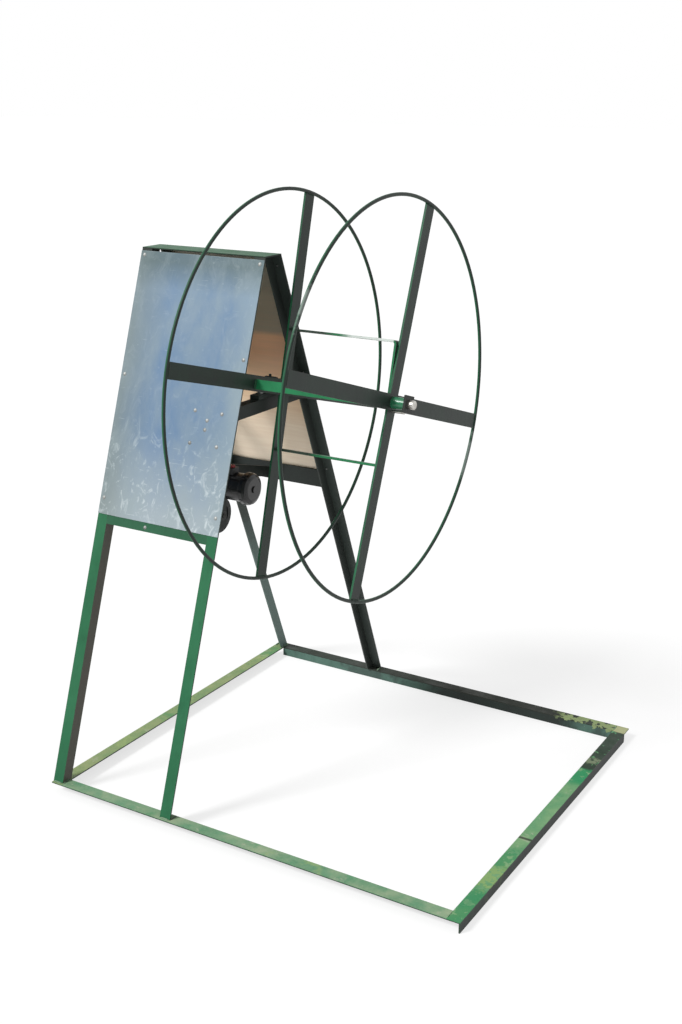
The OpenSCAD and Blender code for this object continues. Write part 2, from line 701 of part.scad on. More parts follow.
module drive_pin() color([0.6, 0.61, 0.6])
    pin_at(core_end - core_t) cylinder(r = pin_d / 2, h = core_t + spoke_t + sleeve_len - 2);

module hub_sleeve() color([0.24, 0.56, 0.42]) difference() {
    rod_x(sleeve_x, shaft_y, shaft_h, sleeve_d / 2, sleeve_len);
    rod_x(sleeve_x - cut, shaft_y, shaft_h, shaft_d / 2 + sliding_fit, sleeve_len + 2 * cut);
}

module clamp_nut() color([0.25, 0.27, 0.26]) difference() {
    reel_pose(nut_x, outer_lean + outer_skew) translate([0, -nut_side / 2, -nut_side / 2])
        cube([nut_t, nut_side, nut_side]);
    rod_x(nut_x - cut, shaft_y, shaft_h, shaft_d / 2 + sliding_fit, nut_t + 2 * cut);
}

module counter_shaft() color([0.62, 0.62, 0.6]) {
    xs = x0 + second_belt_x - pulley_w / 2 - 4;
    rod_x(xs, counter_cy, counter_z, counter_shaft_d / 2, motor_x + bush_lip + 2 - xs);
}

module counter_pulley_big() color([0.13, 0.14, 0.14]) difference() {
    grooved(x0 + first_belt_x, counter_cy, counter_z, counter_big_d);
    rod_x(x0 + first_belt_x - pulley_w, counter_cy, counter_z, counter_shaft_d / 2, pulley_w * 2);
    on_axis(x0 + first_belt_x + 3, counter_cy, counter_z) difference() {
        cylinder(r = belt_r(counter_big_d) - 7, h = pulley_w);
        translate([0, 0, -cut]) cylinder(r = 13, h = pulley_w + 2 * cut);
    }
}

module counter_pulley_small() color([0.13, 0.14, 0.14]) difference() {
    grooved(x0 + second_belt_x, counter_cy, counter_z, counter_small_d);
    rod_x(x0 + second_belt_x - pulley_w, counter_cy, counter_z, counter_shaft_d / 2, pulley_w * 2);
}

module motor_shaft() color([0.62, 0.62, 0.6]) {
    xs = x0 + first_belt_x - pulley_w / 2 - 3;
    rod_x(xs, motor_cy, motor_z, motor_shaft_d / 2, motor_x + motor_len - 14 - xs);
}

module motor_pulley() color([0.13, 0.14, 0.14]) difference() {
    grooved(x0 + first_belt_x, motor_cy, motor_z, motor_pulley_d);
    rod_x(x0 + first_belt_x - pulley_w, motor_cy, motor_z, motor_shaft_d / 2, pulley_w * 2);
}

rail_front();
rail_rear();
rail_far();
rail_near();
leg_far_front();
leg_far_rear();
leg_near_front();
leg_near_rear();
top_cap();
crossbar_front();
crossbar_rear();
bearing_bar_far();
bearing_bar_near();
cover_sheet();
cover_screws();
crossbar_bolt();
back_panel();
panel_screws();
control_box();
control_box_bolts();
motor_plate();
motor_body();
motor_end_cap();
motor_bolts();
terminal_box();
terminal_clip();
counter_bush();
bearing_far_housing();
bearing_far_insert();
bearing_far_bolts();
bearing_near_housing();
bearing_near_insert();
bearing_near_bolts();
belt_motor();
belt_reel();
reel_shaft();
reel_pulley();
hub_boss();
inner_hoop();
inner_spokes();
core_frame_upright();
core_frame_level();
drive_pin();
outer_hoop();
outer_spokes();
hub_sleeve();
clamp_nut();
counter_shaft();
counter_pulley_big();
counter_pulley_small();
motor_shaft();
motor_pulley();
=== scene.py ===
import bpy
import json
import math
import numpy as np
from mathutils import Matrix, Vector


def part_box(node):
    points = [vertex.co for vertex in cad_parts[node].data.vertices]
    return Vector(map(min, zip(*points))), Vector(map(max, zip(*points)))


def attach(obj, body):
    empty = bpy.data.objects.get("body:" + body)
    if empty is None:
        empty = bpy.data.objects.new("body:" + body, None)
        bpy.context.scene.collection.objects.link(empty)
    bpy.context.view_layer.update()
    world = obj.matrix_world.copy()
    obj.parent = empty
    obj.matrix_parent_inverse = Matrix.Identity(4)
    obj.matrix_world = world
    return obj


# Rope winder: welded angle-bar base and tower, zinc cover, and an open two-hoop reel
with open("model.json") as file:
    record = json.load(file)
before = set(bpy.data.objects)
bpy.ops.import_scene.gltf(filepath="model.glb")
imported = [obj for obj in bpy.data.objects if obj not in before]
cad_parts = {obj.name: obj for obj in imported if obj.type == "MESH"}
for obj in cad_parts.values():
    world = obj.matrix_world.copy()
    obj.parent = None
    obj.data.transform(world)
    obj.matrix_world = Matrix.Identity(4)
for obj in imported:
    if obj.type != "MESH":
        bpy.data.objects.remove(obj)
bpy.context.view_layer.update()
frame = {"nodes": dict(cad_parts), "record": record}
nodes = frame["nodes"]
print("frame loaded", len(nodes), "nodes")


# Colours are sRGB as seen, turned to linear where they are used
def linearColor(rgb):
    c = np.asarray(rgb, float) / 255
    lin = np.where(c <= 0.04045, c / 12.92, ((c + 0.055) / 1.055) ** 2.4)
    return (*lin.tolist(), 1.0)


def addNode(tree, kind, **values):
    n = tree.nodes.new(kind)
    for key, value in values.items():
        setattr(n, key, value)
    return n


# A socket takes another node's output or a plain value
def feed(tree, socket, value):
    if isinstance(value, bpy.types.NodeSocket):
        tree.links.new(value, socket)
    else:
        socket.default_value = value


def mixColors(tree, factor, a, b):
    n = addNode(tree, "ShaderNodeMix", data_type="RGBA")
    feed(tree, n.inputs[0], factor)
    feed(tree, n.inputs[6], a)
    feed(tree, n.inputs[7], b)
    return n.outputs[2]


def mathNode(tree, operation, a, b, clamp=False):
    n = addNode(tree, "ShaderNodeMath", operation=operation, use_clamp=clamp)
    feed(tree, n.inputs[0], a)
    feed(tree, n.inputs[1], b)
    return n.outputs[0]


def times(tree, a, b, clamp=False):
    return mathNode(tree, "MULTIPLY", a, b, clamp)


def plus(tree, a, b, clamp=False):
    return mathNode(tree, "ADD", a, b, clamp)


# 0 where the value is at start, 1 where it is at full, and held beyond them
def ramp(tree, value, start, full):
    n = addNode(tree, "ShaderNodeMapRange", clamp=True)
    feed(tree, n.inputs[0], value)
    feed(tree, n.inputs[1], start)
    feed(tree, n.inputs[2], full)
    return n.outputs[0]


def splitAxes(tree, vector):
    n = addNode(tree, "ShaderNodeSeparateXYZ")
    feed(tree, n.inputs[0], vector)
    return n.outputs


def noiseNode(tree, position, scale, detail=4.0, rough=0.55, distortion=0.0):
    n = addNode(tree, "ShaderNodeTexNoise")
    feed(tree, n.inputs["Vector"], position)
    feed(tree, n.inputs["Scale"], scale)
    feed(tree, n.inputs["Detail"], detail)
    feed(tree, n.inputs["Roughness"], rough)
    feed(tree, n.inputs["Distortion"], distortion)
    return n.outputs["Fac"]


# Noise on stretched and turned coordinates; "noise" is its scale, detail, roughness and distortion
def pattern(tree, position, look):
    n = addNode(tree, "ShaderNodeMapping")
    feed(tree, n.inputs["Vector"], position)
    feed(tree, n.inputs["Scale"], look["stretch"])
    feed(tree, n.inputs["Rotation"], look.get("turn", (0, 0, 0)))
    return noiseNode(tree, n.outputs[0], *look["noise"])


# A shader node group whose inputs and outputs are plain numbers
def newGroup(name, inputs, outputs):
    tree = bpy.data.node_groups.new(name, "ShaderNodeTree")
    for label, value in inputs.items():
        socket = tree.interface.new_socket(label, in_out="INPUT", socket_type="NodeSocketFloat")
        socket.default_value = value
    for label in outputs:
        tree.interface.new_socket(label, in_out="OUTPUT", socket_type="NodeSocketFloat")
    return tree, addNode(tree, "NodeGroupInput").outputs, addNode(tree, "NodeGroupOutput").inputs


def placeGroup(tree, group, **values):
    n = addNode(tree, "ShaderNodeGroup", node_tree=group)
    for key, value in values.items():
        n.inputs[key].default_value = value
    return n.outputs


# Bevel compared with the true normal finds the edges, and noise breaks the worn line up
wearShape = {"samples": 6, "edge": (0.99, 0.8), "chips": (0.42, 0.6), "detail": 6.0, "rough": 0.5}


def edgeWearGroup(shape):
    tree, given, out = newGroup("edgeWear", {"Width": 0.002, "Amount": 0.5, "Scale": 60.0}, ["Mask"])
    bevel = addNode(tree, "ShaderNodeBevel", samples=shape["samples"])
    feed(tree, bevel.inputs["Radius"], given["Width"])
    likeness = addNode(tree, "ShaderNodeVectorMath", operation="DOT_PRODUCT")
    feed(tree, likeness.inputs[0], bevel.outputs[0])
    feed(tree, likeness.inputs[1], addNode(tree, "ShaderNodeNewGeometry").outputs["Normal"])
    edge = ramp(tree, likeness.outputs["Value"], *shape["edge"])
    position = addNode(tree, "ShaderNodeTexCoord").outputs["Object"]
    chips = noiseNode(tree, position, given["Scale"], shape["detail"], shape["rough"])
    worn = times(tree, edge, ramp(tree, chips, *shape["chips"]))
    feed(tree, out["Mask"], times(tree, worn, given["Amount"], True))
    return tree


# Dust lies on faces that look up, thicker where a broad noise is high
dustShape = {"up": (0.2, 0.95), "patches": (0.36, 0.66), "detail": 8.0, "rough": 0.62}


def dustGroup(shape):
    tree, given, out = newGroup("settledDust", {"Amount": 0.5, "Scale": 9.0}, ["Mask"])
    normal = addNode(tree, "ShaderNodeNewGeometry").outputs["Normal"]
    up = ramp(tree, splitAxes(tree, normal)["Z"], *shape["up"])
    position = addNode(tree, "ShaderNodeTexCoord").outputs["Object"]
    patches = noiseNode(tree, position, given["Scale"], shape["detail"], shape["rough"])
    covered = times(tree, up, ramp(tree, patches, *shape["patches"]))
    feed(tree, out["Mask"], times(tree, covered, given["Amount"], True))
    return tree


# Fine pits of a brushed-on coat, as a height, and its broad clouds, as a tone
coatShape = {"fineDetail": 5.0, "fineRough": 0.5, "clouds": (7.0, 5.0, 0.6)}


def brushCoatGroup(shape):
    tree, given, out = newGroup("brushedCoat", {"Scale": 160.0}, ["Height", "Tone"])
    position = addNode(tree, "ShaderNodeTexCoord").outputs["Object"]
    fine = noiseNode(tree, position, given["Scale"], shape["fineDetail"], shape["fineRough"])
    feed(tree, out["Height"], fine)
    feed(tree, out["Tone"], noiseNode(tree, position, *shape["clouds"]))
    return tree


# Painted shade on faces turned from the light: the mask is high where a face looks along +X
sideShape = {"facing": (0.1, 0.6), "detail": 6.0, "rough": 0.5, "least": 0.8, "more": 0.35}


def paintedShadeGroup(shape):
    tree, given, out = newGroup("paintedShadeSide", {"Amount": 0.9, "Scale": 18.0}, ["Mask"])
    coords = addNode(tree, "ShaderNodeTexCoord").outputs
    side = ramp(tree, splitAxes(tree, coords["Normal"])["X"], *shape["facing"])
    blots = noiseNode(tree, coords["Object"], given["Scale"], shape["detail"], shape["rough"])
    patches = plus(tree, shape["least"], times(tree, blots, shape["more"]))
    covered = times(tree, side, patches)
    feed(tree, out["Mask"], times(tree, covered, given["Amount"], True))
    return tree


edgeWear = edgeWearGroup(wearShape)
settledDust = dustGroup(dustShape)
brushedCoat = brushCoatGroup(coatShape)
paintedShade = paintedShadeGroup(sideShape)


def newMaterial(name):
    mat = bpy.data.materials.new(name)
    mat.use_nodes = True
    tree = mat.node_tree
    position = addNode(tree, "ShaderNodeTexCoord").outputs["Object"]
    return mat, tree, tree.nodes["Principled BSDF"], position


def addBump(tree, shader, height, strength, distance):
    bump = addNode(tree, "ShaderNodeBump")
    feed(tree, bump.inputs["Strength"], strength)
    feed(tree, bump.inputs["Distance"], distance)
    feed(tree, bump.inputs["Height"], height)
    feed(tree, shader.inputs["Normal"], bump.outputs[0])


# Noises that every enamel shares: the ragged line of a region, and the blots of a patch
raggedLine = (45.0, 5.0, 0.6)
blotShape = {"detail": 5.0, "rough": 0.62, "distortion": 0.4, "softness": 0.07}


# Mask of a region: ramps along axes, each broken up a little by noise, multiplied together
def regionMask(tree, position, ramps, amount, breakUp):
    parts = splitAxes(tree, position)
    ragged = times(tree, plus(tree, noiseNode(tree, position, *raggedLine), -0.5), breakUp)
    mask = amount
    for axis, start, full in ramps:
        mask = times(tree, ramp(tree, plus(tree, parts[axis], ragged), start, full), mask)
    return mask


# Blotches of another tone where a broad noise is high, up to their own amount
def addPatches(tree, position, paint, patches, shape):
    for colour, scale, start, amount in patches:
        blots = noiseNode(tree, position, scale, shape["detail"], shape["rough"], shape["distortion"])
        mask = times(tree, ramp(tree, blots, start, start + shape["softness"]), amount)
        paint = mixColors(tree, mask, paint, linearColor(colour))
    return paint


# What is the same in every enamel: pits, tone, grime runs, worn edges, roughness and bump
enamelShape = {"pits": 170.0, "tone": (0.35, 0.68),
               "runs": {"stretch": (14, 14, 3), "noise": (6.0, 6.0, 0.65)},
               "grimeRise": (0.52, 0.8), "grimeShade": 0.6, "sideScale": 18.0, "wearWidth": 0.0022,
               "wearScale": 70.0, "dustRough": 0.4, "runsRough": 0.12, "bump": (0.25, 0.0006)}


# Enamel on steel: two tones, grime runs, dust, patches, painted shade on faces that look along +X, regions,
# rubbed edges
def enamel(name, look):
    shape = enamelShape
    mat, tree, shader, position = newMaterial(name)
    coat = placeGroup(tree, brushedCoat, Scale=shape["pits"])
    tone = ramp(tree, coat["Tone"], *shape["tone"])
    paint = mixColors(tree, tone, linearColor(look["dark"]), linearColor(look["light"]))
    runs = pattern(tree, position, shape["runs"])
    grime = times(tree, ramp(tree, runs, *shape["grimeRise"]), look["grime"])
    grimeColour = linearColor([c * shape["grimeShade"] for c in look["dark"]])
    paint = mixColors(tree, grime, paint, grimeColour)
    dust = placeGroup(tree, settledDust, Amount=look["dustAmount"], Scale=look["dustScale"])
    paint = mixColors(tree, dust["Mask"], paint, linearColor(look["dust"]))
    paint = addPatches(tree, position, paint, look["patches"], blotShape)
    # Painted shade: faces that look along +X take the look's side colour
    side = placeGroup(tree, paintedShade, Amount=look["sideAmount"], Scale=shape["sideScale"])
    paint = mixColors(tree, side["Mask"], paint, linearColor(look["side"]))
    for colour, amount, breakUp, ramps in look["regions"]:
        mask = regionMask(tree, position, ramps, amount, breakUp)
        paint = mixColors(tree, mask, paint, linearColor(colour))
    wear = placeGroup(tree, edgeWear, Width=shape["wearWidth"], Amount=look["wear"],
                      Scale=shape["wearScale"])
    paint = mixColors(tree, wear["Mask"], paint, linearColor(look["bare"]))
    feed(tree, shader.inputs["Base Color"], paint)
    rough = plus(tree, look["gloss"], times(tree, dust["Mask"], shape["dustRough"]))
    rough = plus(tree, rough, times(tree, runs, shape["runsRough"]), True)
    feed(tree, shader.inputs["Roughness"], rough)
    feed(tree, shader.inputs["Specular IOR Level"], look["shine"])
    addBump(tree, shader, coat["Height"], *shape["bump"])
    return mat


# Heights on the tower, read from the frame
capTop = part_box("top_cap")[1][2]
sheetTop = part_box("cover_sheet")[1][2]
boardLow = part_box("back_panel")[0][2]
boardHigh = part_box("back_panel")[1][2]

# Zinc sheet. A band is colour, axis, start, full and amount; a mark's share is its least and what
# rubbing adds to it
sheetLook = {"deep": (90, 118, 148), "mid": (114, 134, 148), "cloudRise": (0.35, 0.7),
             "clouds": {"stretch": (1.0, 1.0, 0.45), "noise": (7.0, 5.0, 0.6, 0.6)},
             "bands": [((160, 170, 172), "Z", 0.82, 0.64, 0.75),
                       ((112, 124, 122), "X", -0.42, -0.515, 0.75),
                       ((136, 152, 158), "X", -0.25, -0.19, 0.5),
                       ((70, 88, 88), "Z", sheetTop - 0.08, sheetTop - 0.02, 0.8)],
             "rubbed": (0.84, 0.7),
             "haze": {"colour": (138, 152, 156), "stretch": (1.0, 1.0, 0.4),
                      "noise": (15.0, 6.0, 0.66, 0.5), "rise": (0.44, 0.68), "share": (0.34, 0.4)},
             "smears": {"colour": (198, 208, 210), "stretch": (1.0, 1.0, 0.6), "turn": (0, 0.5, 0),
                        "noise": (34.0, 7.0, 0.66, 1.8), "rise": (0.54, 0.68), "share": (0.08, 0.55)},
             "scratches": {"colour": (198, 208, 210), "stretch": (1.0, 1.0, 14.0), "turn": (0, 0.12, 0),
                           "noise": (24.0, 3.0, 0.5), "rise": (0.68, 0.74), "share": (0.14, 0.5)},
             "spots": {"colour": (198, 208, 210), "scale": 34.0, "rise": (0.09, 0.04), "share": (0.1, 0.3)},
             "rim": (176, 186, 190), "rimWear": {"Width": 0.002, "Amount": 0.6, "Scale": 40.0},
             "metal": 0.22, "rough": 0.38, "smearRough": 0.25, "bump": (0.15, 0.004)}


# Zinc sheet: blue-grey clouds, a dull strip at the top, and pale rubbed marks that thicken low down
def zincSheet(name, look):
    mat, tree, shader, position = newMaterial(name)
    parts = splitAxes(tree, position)
    clouds = pattern(tree, position, look["clouds"])
    cloudMask = ramp(tree, clouds, *look["cloudRise"])
    base = mixColors(tree, cloudMask, linearColor(look["deep"]), linearColor(look["mid"]))
    for colour, axis, start, full, amount in look["bands"]:
        band = times(tree, ramp(tree, parts[axis], start, full), amount)
        base = mixColors(tree, band, base, linearColor(colour))
    spots = addNode(tree, "ShaderNodeTexVoronoi")
    feed(tree, spots.inputs["Vector"], position)
    feed(tree, spots.inputs["Scale"], look["spots"]["scale"])
    smears = pattern(tree, position, look["smears"])
    marks = {"haze": pattern(tree, position, look["haze"]), "smears": smears,
             "scratches": pattern(tree, position, look["scratches"]), "spots": spots.outputs["Distance"]}
    rubbed = ramp(tree, parts["Z"], *look["rubbed"])
    for key, value in marks.items():
        mark = look[key]
        least, added = mark["share"]
        share = plus(tree, least, times(tree, rubbed, added))
        mask = times(tree, ramp(tree, value, *mark["rise"]), share)
        base = mixColors(tree, mask, base, linearColor(mark["colour"]))
    wear = placeGroup(tree, edgeWear, **look["rimWear"])
    base = mixColors(tree, wear["Mask"], base, linearColor(look["rim"]))
    feed(tree, shader.inputs["Base Color"], base)
    feed(tree, shader.inputs["Metallic"], look["metal"])
    rough = plus(tree, look["rough"], times(tree, smears, look["smearRough"]), True)
    feed(tree, shader.inputs["Roughness"], rough)
    addBump(tree, shader, clouds, *look["bump"])
    return mat


# Board. A stop is a share of the board's height and the colour there
# The stops are painted light and shade on the inside face: pale painted light at the foot, warm bands,
# darker painted shade at the top
boardLook = {"outside": (196, 164, 124), "grainColour": (206, 164, 124), "inside": (0.1, -0.1),
             "stops": [(0.0, (250, 236, 214)), (0.3, (250, 228, 200)), (0.47, (250, 206, 158)),
                       (0.62, (240, 178, 130)), (0.69, (250, 188, 138)), (0.715, (172, 156, 128)),
                       (1.0, (168, 160, 138))],
             "wobble": {"stretch": (1.0, 5, 5), "noise": (3.0, 3.0, 0.5)}, "wobbleDepth": 0.05,
             "grain": {"stretch": (1.5, 26, 26), "noise": (5.0, 7.0, 0.65, 0.3)},
             "grainRise": (0.4, 0.7), "grainShare": 0.22, "rough": 0.5, "shine": 0.8,
             "bump": (0.2, 0.001)}


# Board: plain outside; the inside face carries painted light and shade, pale painted light at the foot,
# warmer with height and darker painted shade over the top part; fine grain along X
def boardWood(name, look):
    mat, tree, shader, position = newMaterial(name)
    wobble = times(tree, pattern(tree, position, look["wobble"]), look["wobbleDepth"])
    height = plus(tree, splitAxes(tree, position)["Z"], wobble)
    steps = addNode(tree, "ShaderNodeValToRGB")
    feed(tree, steps.inputs[0], ramp(tree, height, boardLow, boardHigh))
    elements = steps.color_ramp.elements
    while len(elements) < len(look["stops"]):
        elements.new(0.5)
    for element, (place, colour) in zip(elements, look["stops"]):
        element.position = place
        element.color = linearColor(colour)
    facing = splitAxes(tree, addNode(tree, "ShaderNodeTexCoord").outputs["Normal"])["Y"]
    inside = ramp(tree, facing, *look["inside"])
    base = mixColors(tree, inside, linearColor(look["outside"]), steps.outputs[0])
    grain = pattern(tree, position, look["grain"])
    grainMask = times(tree, ramp(tree, grain, *look["grainRise"]), look["grainShare"])
    base = mixColors(tree, grainMask, base, linearColor(look["grainColour"]))
    feed(tree, shader.inputs["Base Color"], base)
    feed(tree, shader.inputs["Roughness"], look["rough"])
    feed(tree, shader.inputs["Specular IOR Level"], look["shine"])
    addBump(tree, shader, grain, *look["bump"])
    return mat


# Bare or plated metal with turned lines round X
metalShape = {"rings": {"stretch": (260.0, 3, 3), "noise": (4.0, 4.0, 0.6)}, "ringRough": 0.18,
              "stain": (34.0, 6.0, 0.65), "stainRise": (0.5, 0.75), "bump": (0.12, 0.0003)}


def turnedMetal(name, colour, dark, rough):
    shape = metalShape
    mat, tree, shader, position = newMaterial(name)
    rings = pattern(tree, position, shape["rings"])
    stain = ramp(tree, noiseNode(tree, position, *shape["stain"]), *shape["stainRise"])
    base = mixColors(tree, stain, linearColor(colour), linearColor(dark))
    feed(tree, shader.inputs["Base Color"], base)
    feed(tree, shader.inputs["Metallic"], 1.0)
    feed(tree, shader.inputs["Roughness"], plus(tree, rough, times(tree, rings, shape["ringRough"]), True))
    addBump(tree, shader, rings, *shape["bump"])
    return mat


# Rough cast or moulded surface with a little dust
skinShape = {"pitDetail": 5.0, "pitRough": 0.6, "broad": (16.0, 4.0, 0.6), "broadRise": (0.35, 0.7),
             "dustScale": 26.0, "pitGloss": 0.2, "bump": (0.35, 0.0006)}


def castSkin(name, colour, dark, rough, pitScale, dustAmount, dust=(120, 122, 112)):
    shape = skinShape
    mat, tree, shader, position = newMaterial(name)
    pits = noiseNode(tree, position, pitScale, shape["pitDetail"], shape["pitRough"])
    broad = ramp(tree, noiseNode(tree, position, *shape["broad"]), *shape["broadRise"])
    base = mixColors(tree, broad, linearColor(dark), linearColor(colour))
    settled = placeGroup(tree, settledDust, Amount=dustAmount, Scale=shape["dustScale"])
    base = mixColors(tree, settled["Mask"], base, linearColor(dust))
    feed(tree, shader.inputs["Base Color"], base)
    feed(tree, shader.inputs["Roughness"], plus(tree, rough, times(tree, pits, shape["pitGloss"]), True))
    addBump(tree, shader, pits, *shape["bump"])
    return mat


# Enamels. A patch is colour, noise scale, start and amount. A region is colour, amount, how ragged
# its line is, and its ramps along axes in metres
# side is the colour of the painted shade on faces that look along +X
greenPaint = {"light": (38, 106, 70), "dark": (24, 92, 58), "dust": (90, 122, 96), "side": (32, 38, 35),
              "bare": (62, 58, 50), "gloss": 0.38, "shine": 0.25, "grime": 0.35, "dustAmount": 0.2,
              "dustScale": 11.0, "sideAmount": 0.9, "wear": 0.6, "patches": [], "regions": []}
# Painted shadow of the cap: the legs go dark above the sheet's top, under the cap
capShadow = ((30, 34, 32), 0.95, 0.0, [("Z", sheetTop - 0.006, sheetTop - 0.002)])
legLook = {**greenPaint, "wear": 0.5, "side": (40, 44, 42), "regions": [capShadow]}
# Painted shade: the far front leg's face that looks along +X is brown-grey
farLegLook = {**legLook, "side": (82, 76, 70), "sideAmount": 0.95}
# A shaded copy of the leg paint in grey-green: painted shade on the near rear leg
shadeLegLook = {**greenPaint, "light": (66, 74, 70), "dark": (56, 64, 60), "side": (46, 51, 48),
                "dust": (96, 106, 98), "wear": 0.8, "grime": 0.2}
# A shaded copy for the far rear leg in grey-teal, with painted shade darkening it above about 0.34 to 0.48
# m
farRearLook = {**shadeLegLook, "light": (100, 124, 118), "dark": (82, 102, 96), "side": (90, 110, 104),
               "regions": [((36, 46, 40), 0.95, 0.06, [("Z", 0.34, 0.48)])]}

# The base bars: a painted shadow line down the plate's edge, and painted pools of dappled sunlight and
# shadow along its top
plateTop = ("Z", 0.02, 0.021)
plateFace = ("Z", 0.0206, 0.0212)
# Painted shadow: the faces below the plate's top surface go dark
edgeShadow = ((30, 36, 32), 0.9, 0.0, [("Z", 0.0229, 0.0227)])
# side is painted shade on the outer flanges that look along +X; the saturated green and lime patches are
# painted dappled sunlight
baseLook = {**greenPaint, "light": (107, 152, 117), "dark": (88, 138, 103), "dust": (156, 172, 141),
            "dustAmount": 0.9, "dustScale": 16.0, "wear": 0.5, "gloss": 0.45, "side": (34, 44, 52),
            "patches": [((40, 136, 86), 9.0, 0.58, 0.5), ((152, 174, 110), 12.0, 0.58, 0.5),
                        ((166, 174, 150), 34.0, 0.6, 0.5)],
            "regions": [edgeShadow]}
# On the near rail's top, regions of painted dappled sunlight and shadow: saturated green and pale lime
# pools of light, dark bands of shadow
nearRailLook = {**baseLook, "light": (92, 150, 106), "dark": (72, 136, 92), "dust": (128, 166, 120),
                "regions": [((16, 126, 76), 0.6, 0.12, [("Y", -0.17, -0.2), plateTop]),
                            ((146, 172, 108), 0.7, 0.14,
                             [("Y", -0.24, -0.27), ("Y", -0.36, -0.33), plateTop]),
                            ((14, 132, 82), 0.85, 0.03, [("Y", 0.13, 0.16), plateTop]),
                            ((44, 46, 42), 0.92, 0.03, [("Y", 0.215, 0.23), plateTop]),
                            ((142, 156, 124), 0.6, 0.05,
                             [("Y", 0.25, 0.26), ("Y", 0.29, 0.28), plateTop]),
                            ((184, 188, 142), 0.9, 0.02, [("Y", 0.44, 0.445), plateTop]),
                            ((44, 48, 40), 0.85, 0.0,
                             [("Y", -0.138, -0.136), ("Y", -0.128, -0.13), plateTop]),
                            edgeShadow]}
farRailLook = {**baseLook, "light": (124, 152, 104), "dark": (104, 138, 92), "dust": (156, 166, 120)}
# The rear rail is a shaded copy of the base paint in darker teal, with dark patches of painted dappled
# shade, painted shadow over a length from about x 0 to 0.4 m and over its top face, and a lime pool of
# painted sunlight on the top beyond x 0.36 m
rearRailLook = {**baseLook, "light": (92, 122, 112), "dark": (74, 104, 92), "dust": (92, 106, 96),
                "patches": [((52, 58, 56), 6.0, 0.5, 0.6)],
                "regions": [((38, 44, 41), 0.92, 0.1, [("X", -0.12, 0.02), ("X", 0.42, 0.36)]),
                            ((44, 48, 42), 0.9, 0.004, [plateFace]),
                            ((150, 168, 116), 0.85, 0.06, [("X", 0.33, 0.36), plateFace])]}
weldLook = {**baseLook, "light": (140, 176, 150), "dark": (96, 140, 112), "patches": [], "regions": []}

# The tower's top and bars
# Painted shade: the cap's faces below its top surface go dark
capLook = {**greenPaint, "light": (49, 96, 68), "dark": (36, 83, 55), "dust": (74, 104, 84),
           "dustAmount": 0.6,
           "regions": [((30, 34, 32), 0.9, 0.0, [("Z", capTop - 0.0004, capTop - 0.0008)])]}
barLook = {**greenPaint, "light": (42, 94, 68), "dark": (28, 82, 54), "wear": 0.4}
# A dark grey-green copy of the green enamel: painted shade on the inner parts
innerLook = {**greenPaint, "light": (38, 46, 42), "dark": (30, 37, 34), "dust": (70, 76, 68),
             "side": (29, 35, 32), "wear": 0.5, "shine": 0.2}

# The reel: painted shade on faces that look along +X, with worn silver lengths on the outer hoop and on one
# core frame
hoopLook = {**greenPaint, "light": (30, 100, 66), "dark": (22, 76, 50), "dust": (80, 98, 86),
            "side": (35, 42, 39), "wear": 0.9, "sideAmount": 0.97, "gloss": 0.4}
wornHoopLook = {**hoopLook,
                "regions": [((176, 184, 180), 0.36, 0.1,
                             [("Z", 1.13, 1.15), ("Z", 1.21, 1.19), ("Y", -0.2, -0.24)]),
                            ((166, 176, 172), 0.36, 0.1,
                             [("Z", 0.65, 0.67), ("Z", 0.76, 0.74), ("Y", 0.12, 0.16)])]}
coreLook = {**greenPaint, "light": (32, 122, 76), "dark": (24, 100, 62), "dust": (80, 112, 90), "wear": 0.8}
# Its first region is painted shade over the core frame's left end, beyond x -0.04 to -0.07 m; its second a
# worn silver length
coreUprightLook = {**coreLook,
                   "regions": [((36, 40, 37), 0.9, 0.02, [("X", -0.04, -0.07)]),
                               ((214, 220, 216), 0.85, 0.04,
                                [("X", -0.03, 0.0), ("X", 0.106, 0.104), ("Z", 1.0, 1.02)])]}
hubLook = {**greenPaint, "light": (46, 128, 90), "dark": (34, 110, 74), "sideAmount": 0.5,
           "gloss": 0.22, "shine": 0.6}
nutLook = {**innerLook, "light": (54, 58, 56), "dark": (40, 44, 42), "wear": 0.9}

